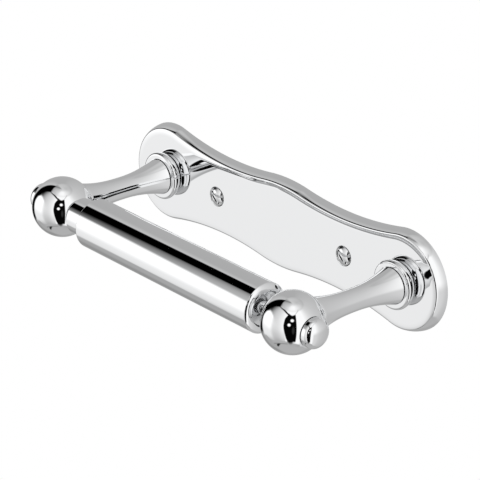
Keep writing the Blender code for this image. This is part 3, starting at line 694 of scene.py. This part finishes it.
def make_balls():
    """Two balls, heights outwards: finial bore and flat, sphere, roller flat and pin socket. The
    arm's seat and the bore for its spigot are cut from behind."""
    finial_bore = FINIAL_SPIGOT_R + SEAT_GAP
    finial_bore_end = BALL_FINIAL_FLAT - FINIAL_SPIGOT_LENGTH
    socket = PIN_R + SEAT_GAP
    socket_end = ARM_X - PIN_TIP - PIN_SOCKET_CLEARANCE
    start = atan2(BALL_FINIAL_FLAT, BALL_FINIAL_FLAT_R)
    end = -atan2(BALL_ROLLER_FLAT, BALL_ROLLER_FLAT_R)
    ball = profile(
        [(0, finial_bore_end), (finial_bore, finial_bore_end), (finial_bore, BALL_FINIAL_FLAT)],
        arc((0, 0), BALL_R, start, end),
        [(socket, -BALL_ROLLER_FLAT), (socket, -socket_end), (0, -socket_end)],
    )
    spigot_bore = SPIGOT_R + SEAT_GAP
    spigot_bore_end = BALL_ARM_FLAT - SPIGOT_LENGTH
    seat = np.array(
        [
            (0, BALL_R + OVERRUN),
            (BALL_R, BALL_R + OVERRUN),
            (BALL_R, BALL_ARM_FLAT),
            (spigot_bore, BALL_ARM_FLAT),
            (spigot_bore, spigot_bore_end),
            (0, spigot_bore_end),
        ]
    )
    for name, side in SIDES.items():
        centre = (side * ARM_X, ROLLER_Y, 0)
        mesh = mesh_from("ball", [turned(ball, centre, (side, 0, 0))])
        tool = mesh_from("seat", [turned(seat, centre, (0, 1, 0))])
        dress("seated_ball_" + name, cut(mesh, tool), CHROME, "holder", "ball_" + name)


def make_finials():
    """Two finials: a half ellipse over a drum, and a spigot in the ball."""
    base = BALL_FINIAL_FLAT + SEAT_GAP
    shoulder = FINIAL_TOP - FINIAL_DOME
    angle = np.linspace(pi / 2, 0, DOME_STEPS + 1)
    dome = np.stack([FINIAL_R * np.cos(angle), shoulder + FINIAL_DOME * np.sin(angle)], axis=-1)
    points = profile(
        [(0, FINIAL_TOP)],
        dome[1:],
        [(FINIAL_R, base), (FINIAL_SPIGOT_R, base)],
        [(FINIAL_SPIGOT_R, base - FINIAL_SPIGOT_LENGTH), (0, base - FINIAL_SPIGOT_LENGTH)],
    )
    for name, side in SIDES.items():
        mesh = mesh_from("finial", [turned(points, (side * ARM_X, ROLLER_Y, 0), (side, 0, 0))])
        dress("domed_finial_" + name, mesh, CHROME, "holder", "finial_" + name)


def roller_piece(name, points, material, body, node):
    """Turn a profile about the roller's axis, its heights being places along X."""
    mesh = mesh_from(node, [turned(points, (0, ROLLER_Y, 0), (1, 0, 0))])
    dress(name, mesh, material, body, node)


def make_outer_half():
    """The outer tube, rolled in at both ends, and the plug with the right-hand pin on its crowned face.
    The right end's shoulder runs from the edge of its hole, at angle a = 0, to the tube's side:
    radius = edge + (side - edge) * sin(a)^power, height = start + (top - start) * cos(a)^power."""
    bore = OUTER_R - OUTER_WALL
    hole = INNER_R + SEAT_GAP
    lip_back = OUTER_LEFT + OUTER_LIP
    angle = np.linspace(0, pi / 2, DOME_STEPS + 1)
    outward = np.sin(angle) ** SHOULDER_POWER
    start = OUTER_RIGHT - SHOULDER_START
    top = OUTER_RIGHT + SHOULDER_RISE
    height = start + (top - start) * np.cos(angle) ** SHOULDER_POWER
    outside = np.stack([SHOULDER_EDGE_R + (OUTER_R - SHOULDER_EDGE_R) * outward, height], axis=-1)
    inside = np.stack([SHOULDER_EDGE_R + (bore - SHOULDER_EDGE_R) * outward, height - OUTER_WALL], axis=-1)
    tube = profile(
        outside,
        arc((OUTER_R - OUTER_LIP, lip_back), OUTER_LIP, 0, -pi / 2),
        [(hole, OUTER_LEFT), (hole, lip_back), (bore, lip_back)],
        inside[::-1],
        closed=True,
    )
    roller_piece("rolled_outer_tube", tube, TUBE_CHROME, "roller_outer_half", "roller_outer_tube")
    body = bore - SEAT_GAP
    step = OUTER_RIGHT - PLUG_STEP
    face_r = SHOULDER_EDGE_R - FACE_CLEARANCE
    radius = np.linspace(PIN_R, face_r, DOME_STEPS)
    crown = top - FACE_RECESS + FACE_CROWN * (1 - (radius / face_r) ** 2)
    plug = profile(
        [(0, PIN_TIP), (PIN_R - PIN_CHAMFER, PIN_TIP), (PIN_R, PIN_TIP - PIN_CHAMFER)],
        np.stack([radius, crown], axis=-1),
        [(face_r, step), (body, step), (body, OUTER_PLUG_BACK), (0, OUTER_PLUG_BACK)],
    )
    roller_piece("dished_plug", plug, PLUG_CHROME, "roller_outer_half", "roller_outer_plug")


def make_inner_half():
    """The inner tube, flared at its buried mouth, and the plug with the left-hand pin."""
    flared = OUTER_R - OUTER_WALL - SEAT_GAP
    bore = INNER_R - INNER_WALL
    land = INNER_RIGHT - INNER_LAND
    root = land - INNER_FLARE
    tube = profile(
        [(flared, INNER_RIGHT), (flared, land), (INNER_R, root), (INNER_R, INNER_LEFT)],
        [(bore, INNER_LEFT), (bore, root), (flared - INNER_WALL, land), (flared - INNER_WALL, INNER_RIGHT)],
        closed=True,
    )
    roller_piece("flared_inner_tube", tube, TUBE_CHROME, "roller_inner_half", "roller_inner_tube")
    body = bore - SEAT_GAP
    plug = profile(
        [(0, INNER_PLUG_FACE), (body, INNER_PLUG_FACE), (body, INNER_LEFT), (PIN_R, INNER_LEFT)],
        [(PIN_R, PIN_CHAMFER - PIN_TIP), (PIN_R - PIN_CHAMFER, -PIN_TIP), (0, -PIN_TIP)],
    )
    roller_piece("pinned_plug", plug, PLUG_CHROME, "roller_inner_half", "roller_inner_plug")


def make_spring():
    """One wire from plug to plug: a helix with a close turn at each end and even turns between."""
    start = INNER_PLUG_FACE + SEAT_GAP + SPRING_WIRE_R
    end = OUTER_PLUG_BACK - SEAT_GAP - SPRING_WIRE_R
    close_pitch = 2 * SPRING_WIRE_R + SPRING_CLOSE_GAP
    open_turns = SPRING_TURNS - 2 * SPRING_CLOSE_TURNS
    open_pitch = (end - start - 2 * SPRING_CLOSE_TURNS * close_pitch) / open_turns
    turns = np.linspace(0, SPRING_TURNS, SPRING_TURNS * COIL_STEPS_PER_TURN + 1)
    opened = np.clip(turns - SPRING_CLOSE_TURNS, 0, open_turns)
    x = start + opened * open_pitch + (turns - opened) * close_pitch
    radius = SPRING_R - SPRING_WIRE_R
    angle = 2 * pi * turns
    path = np.stack([x, ROLLER_Y + radius * np.sin(angle), -radius * np.cos(angle)], axis=-1)
    mesh = mesh_from("spring", [along_wire(path, SPRING_WIRE_R, WIRE_STEPS)])
    spring = dress("roller_coil_spring", mesh, SPRING_STEEL, "roller_inner_half", "roller_spring")
    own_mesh(spring)


def above(value, edge, width):
    """0 below the edge and 1 above it, rising smoothly over a width: 3s^2 - 2s^3 at share s."""
    share = np.clip((value - edge) / width + 0.5, 0, 1)
    return share * share * (3 - 2 * share)


def below(value, edge, width):
    """1 below the edge and 0 above it."""
    return 1 - above(value, edge, width)


def band(value, start, end, width):
    """1 between start and end, with soft edges."""
    return above(value, start, width) * below(value, end, width)


def patch(azimuth, elevation, centre, half_size, softness):
    """1 inside an ellipse of degrees, with a soft edge given as a share of its size."""
    away = np.hypot((azimuth - centre[0]) / half_size[0], (elevation - centre[1]) / half_size[1])
    return below(away, 1, softness)


def follow(value, *stops):
    """Straight lines from stop to stop. Each stop is a value and the result there."""
    return np.interp(value, *zip(*stops))


def tent_walls_and_painted_shade(azimuth, elevation):
    """The cloth all round, with painted shade: it darkens towards the card, and its lower half is
    dimmer in front and greyer behind the right-hand side."""
    # The cloth's level by azimuth, with painted shade that darkens it towards the card.
    yield 1, follow(
        azimuth,
        (-180, 0.58), (-150, 0.52), (-135, 0.47), (-110, 0.47), (-102, 0.54), (-92, 0.62), (-76, 0),
        (-66, 0.02), (-60, 0.08), (-52, 0.26), (-44, 0.46), (-36, 0.59), (-28, 0.69), (-12, 0.81),
        (12, 1.06), (20, 1.13), (92, 1.12), (102, 0.98), (114, 0.82), (126, 0.73), (138, 0.68),
        (150, 0.64), (180, 0.58),
    )
    # Painted shade: the cloth's lower half dims in front.
    front = follow(
        azimuth, (-60, 1), (-28, 0.96), (-20, 0.865), (-12, 0.84), (-4, 0.86), (4, 0.93), (14, 1.08)
    )
    front *= follow(elevation, (-48, 0.56), (-42, 0.62), (-34, 0.72), (-24, 0.8), (-8, 0.95), (2, 1))
    yield band(azimuth, -76, 22, 8) * below(elevation, 14, 24), front
    # Painted shade: the cloth's lower half is greyer behind the right-hand side.
    right = follow(
        azimuth, (76, 1.1), (86, 0.78), (102, 0.73), (116, 0.64), (136, 0.58), (168, 0.53), (180, 0.5)
    )
    yield band(azimuth, 76, 185, 6) * below(elevation, -4, 20), right


def tent_lamp(azimuth, elevation):
    """A soft lamp behind the left front of the tent."""
    top = follow(azimuth, (-76, 8), (-68, 14.5), (-60, 20), (-50, 22.5), (-36, 21), (-26, 16))
    level = follow(
        elevation, (-42, 0.66), (-38, 0.8), (-34, 0.9), (-28, 0.94), (-22, 0.96), (-16, 1.08), (-9, 1.25)
    )
    yield band(azimuth, -90, -30, 16) * below(elevation, top, 8), level


def tent_roof(azimuth, elevation):
    """The roof, with painted shade that dims it a little at its rim, and even at its top."""
    level = follow(
        azimuth,
        (-180, 0.57), (-105, 0.66), (-84, 0.22), (-68, 0.48), (-44, 0.6), (-20, 0.7), (0, 0.83),
        (15, 1.02), (30, 1.1), (60, 1.12), (90, 0.95), (120, 0.78), (150, 0.62), (180, 0.57),
    )
    rim_shade_share, top_level = 0.9, 0.72
    # Painted shade at the roof's rim.
    yield above(elevation, 59, 5), rim_shade_share * level
    yield above(elevation, 66, 10), level
    yield above(elevation, 84, 14), top_level


def tent_floor(azimuth, elevation):
    """The tent's floor, with painted shade in a crease along its front and below the right-hand side."""
    edge = follow(
        azimuth,
        (-180, -42), (-126, -35), (-110, -34), (-76, -36), (-62, -37), (-50, -44), (-36, -46),
        (30, -46), (62, -53), (86, -58), (96, -64), (150, -62), (180, -56),
    )
    # The floor's level by azimuth, with painted shade below the right-hand side.
    level = follow(
        azimuth,
        (-180, 0.43), (-126, 0.42), (-115, 0.35), (-104, 0.31), (-95, 0.32), (-84, 0.4), (-75, 0.44),
        (-60, 0.43), (-40, 0.48), (0, 0.49), (62, 0.46), (90, 0.4), (104, 0.48), (150, 0.5), (168, 0.47),
    )
    middle_level, crease_shade_level = 0.49, 0.3
    yield below(elevation, edge, 6), level
    yield below(elevation, -66, 12), middle_level
    # Painted shade along the crease at the floor's front.
    yield band(azimuth, -50, 30, 12) * below(np.abs(elevation + 56), 1.8, 3), crease_shade_level


def tent_seams(azimuth, elevation):
    """The seam over the front of the tent, and a fainter one on its right."""
    seam = follow(
        azimuth, (-50, 50), (-44, 52), (-36, 54), (-20, 56), (-8, 56.5), (4, 55), (16, 52), (28, 48)
    )
    half_width = follow(azimuth, (-36, 1.8), (-16, 2.2), (6, 3))
    level = follow(azimuth, (-44, 0.2), (-28, 0.12), (-12, 0.03), (10, 0.01))
    yield band(azimuth, -46, 27, 6) * below(np.abs(elevation - seam), half_width, 2.2), level
    side_seam = follow(azimuth, (58, 50), (72, 57.5), (90, 65))
    side_level = 0.6
    yield band(azimuth, 60, 88, 8) * below(np.abs(elevation - side_seam), 1.6, 2.4), side_level


def tent_card(azimuth, elevation):
    """The black card on the left."""
    left = follow(
        elevation,
        (-35, -112), (-24, -108), (-16, -105), (-8, -101), (0, -97), (8, -95), (20, -92.5),
        (35, -91), (50, -90),
    )
    right = follow(
        elevation,
        (-30, -78), (-4, -78), (8, -73), (16, -66.5), (22, -66), (36, -61.5), (40, -58.5),
        (46, -52), (50, -47), (54, -43),
    )
    fade = follow(elevation, (-30, 14), (0, 8), (14, 6), (24, 12), (36, 8), (46, 6))
    top = follow(azimuth, (-90, 62), (-76, 61), (-64, 58), (-50, 55), (-40, 53))
    width = above(azimuth, left, 5) * below(azimuth, right, fade)
    black = 0
    yield width * above(elevation, -34, 9) * below(elevation, top, 4), black


def tent_opening(azimuth, elevation):
    """The tent's dark opening round the camera, with a dim streak and two lamps in it."""
    left = follow(
        elevation,
        (-44, 29), (-34, 25.5), (-24, 23.5), (0, 17.5), (10, 15.5), (32, 15.5), (40, 19), (46, 23.5),
    )
    top = follow(azimuth, (22, 54), (28, 52.3), (34, 50.3), (40, 48), (46, 47), (52, 48.5), (58, 50))
    bottom = follow(azimuth, (24, -45), (32, -50), (38, -55), (47, -54), (53, -48), (61, -47))
    fade = follow(azimuth, (28, 8), (38, 16), (48, 16), (56, 8))
    height = above(elevation, bottom, fade) * below(elevation, top, 4)
    dark, dim, lamp = 0.002, 0.03, 1.4
    yield band(azimuth, left, 61.5, 3) * height, dark
    yield patch(azimuth, elevation, (50, -4), (4, 12), 1), dim
    yield patch(azimuth, elevation, (45.5, 30), (6, 4.5), 1), lamp
    yield patch(azimuth, elevation, (35, 14.5), (5, 4.5), 1), lamp


def tent_shadow(azimuth, elevation):
    """A dark spot low in front, a slanted ellipse."""
    slant = follow(azimuth, (-50, -64.5), (-12, -57.5))
    dark = 0.02
    yield patch(azimuth, elevation - slant, (-29, 0), (19, 3), 0.8), dark


TENT_LAYERS = (
    tent_walls_and_painted_shade, tent_lamp, tent_roof, tent_floor, tent_seams, tent_card, tent_opening, tent_shadow
)


def tent_glow(azimuth, elevation):
    """How bright the light tent is in each direction from the holder: azimuth from the front
    towards the right and elevation, in degrees. 1 is white. Each layer gives masks and levels,
    and each is painted over the last: glow + mask * (level - glow)."""
    glow = 0
    for layer in TENT_LAYERS:
        for mask, level in layer(azimuth, elevation):
            glow = glow + mask * (level - glow)
    return glow


def studio_object(name, mesh, material):
    """An object of the studio, which isn't part of the holder."""
    mesh.materials.append(material)
    item = put_in_scene(name, mesh)
    item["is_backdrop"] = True
    return item


def glowing(name):
    """A material that only glows, and its emission shader."""
    material = bpy.data.materials.new(name)
    material.use_nodes = True
    nodes = material.node_tree.nodes
    nodes.remove(nodes["Principled BSDF"])
    emission = nodes.new("ShaderNodeEmission")
    material.node_tree.links.new(emission.outputs[0], nodes["Material Output"].inputs["Surface"])
    return material, emission


def direction(azimuth, elevation):
    """The way towards a direction in degrees: azimuth from the front towards the right, and
    elevation, as x = sin a cos e, y = -cos a cos e, z = sin e."""
    azimuth, elevation = np.radians(azimuth), np.radians(elevation)
    across, ahead = np.sin(azimuth) * np.cos(elevation), -np.cos(azimuth) * np.cos(elevation)
    return np.stack([across, ahead, np.sin(elevation)], axis=-1)


def make_light_tent():
    """A sphere of cloth round the holder. The metal mirrors it, and nothing else sees it."""
    azimuth, elevation = np.meshgrid(
        np.linspace(-180, 180, TENT_STEPS + 1), np.linspace(-90, 90, TENT_STEPS // 2 + 1)
    )
    glow = tent_glow(azimuth, elevation)
    mesh = grid_mesh("light_tent", np.array(TENT_CENTRE) + TENT_RADIUS * direction(azimuth, elevation))
    attribute = mesh.attributes.new("glow", "FLOAT", "POINT")
    attribute.data.foreach_set("value", glow.ravel().astype(np.float32))
    material, emission = glowing("tent_cloth")
    nodes = material.node_tree.nodes
    level = nodes.new("ShaderNodeAttribute")
    level.attribute_name = "glow"
    material.node_tree.links.new(level.outputs["Fac"], emission.inputs["Strength"])
    material.cycles.emission_sampling = "NONE"
    tent = studio_object("light_tent", mesh, material)
    tent.visible_camera = False
    tent.visible_diffuse = False
    tent.visible_shadow = False


def seen_directly(nodes, link):
    """1 for what the camera, mirrors and glass see, and 0 for what only lights the scene."""
    path = nodes.new("ShaderNodeLightPath")
    seen = path.outputs["Is Camera Ray"]
    for ray in ("Is Glossy Ray", "Is Transmission Ray"):
        larger = nodes.new("ShaderNodeMath")
        larger.operation = "MAXIMUM"
        link(seen, larger.inputs[0])
        link(path.outputs[ray], larger.inputs[1])
        seen = larger.outputs[0]
    return seen


def make_floor():
    """A plain pale floor, white to the camera, at the height at which such a holder hangs."""
    shape = bmesh.new()
    bmesh.ops.create_grid(shape, x_segments=FLOOR_SQUARES, y_segments=FLOOR_SQUARES, size=FLOOR_HALF_SIZE)
    bmesh.ops.translate(shape, vec=(0, 0, -FLOOR_DROP), verts=shape.verts)
    material = bpy.data.materials.new("pale_floor")
    material.use_nodes = True
    nodes = material.node_tree.nodes
    link = material.node_tree.links.new
    shader = nodes["Principled BSDF"]
    shader.inputs["Base Color"].default_value = (*FLOOR_COLOUR, 1)
    shader.inputs["Roughness"].default_value = FLOOR_ROUGHNESS
    emission = nodes.new("ShaderNodeEmission")
    mix = nodes.new("ShaderNodeMixShader")
    link(seen_directly(nodes, link), mix.inputs["Fac"])
    link(shader.outputs[0], mix.inputs[1])
    link(emission.outputs[0], mix.inputs[2])
    link(mix.outputs[0], nodes["Material Output"].inputs["Surface"])
    studio_object("floor", as_mesh("floor", shape), material).visible_glossy = False


def make_world():
    """White to the camera and to mirrors, and a plain pale grey as a light."""
    world = bpy.data.worlds.new("studio")
    bpy.context.scene.world = world
    world.use_nodes = True
    nodes = world.node_tree.nodes
    link = world.node_tree.links.new
    strength = nodes.new("ShaderNodeMapRange")
    strength.inputs["To Min"].default_value = WORLD_LIGHT
    strength.inputs["To Max"].default_value = 1
    link(seen_directly(nodes, link), strength.inputs["Value"])
    nodes["Background"].inputs["Color"].default_value = (1, 1, 1, 1)
    link(strength.outputs["Result"], nodes["Background"].inputs["Strength"])


def make_lights():
    """Two large soft lamps above the holder, which the polished metal doesn't mirror."""
    for name, place, power in SOFT_LAMPS:
        light = bpy.data.lights.new(name, "AREA")
        light.shape = "DISK"
        light.size = LAMP_SIZE
        light.energy = power
        lamp = put_in_scene(name, light)
        lamp.location = place
        lamp.rotation_euler = (CAMERA_TARGET - Vector(place)).to_track_quat("-Z", "Y").to_euler()
        lamp.visible_glossy = False


def make_camera():
    """The photograph's camera: azimuth from the front towards the right, elevation and roll."""
    back = Vector(direction(CAMERA_AZIMUTH, CAMERA_ELEVATION))
    level = Vector(direction(CAMERA_AZIMUTH + 90, 0))
    right = cos(CAMERA_ROLL) * level + sin(CAMERA_ROLL) * back.cross(level)
    turn = Matrix((right, back.cross(right), back)).transposed().to_4x4()
    camera = put_in_scene("camera", bpy.data.cameras.new("camera"))
    camera.matrix_world = Matrix.Translation(CAMERA_TARGET + back * CAMERA_DISTANCE) @ turn
    camera.data.lens = CAMERA_LENS
    camera.data.sensor_width = CAMERA_SENSOR
    camera.data.clip_start, camera.data.clip_end = CAMERA_CLIP
    bpy.context.scene.camera = camera


def write_sizes():
    """Gather the CAD box and the dressed part's box as plain lists."""
    boxes = {"cad": CAD_BOX, "visual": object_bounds()}
    plain = {name: [list(corner) for corner in corners] for name, corners in boxes.items()}


bpy.context.scene.view_settings.view_transform = "Standard"
make_camera()
make_back_plate()
make_wall_screws()
make_base_collars()
make_arms()
make_arm_screws()
make_lock_washers()
make_balls()
make_finials()
make_outer_half()
make_inner_half()
make_spring()
make_light_tent()
make_floor()
make_world()
make_lights()
write_sizes()
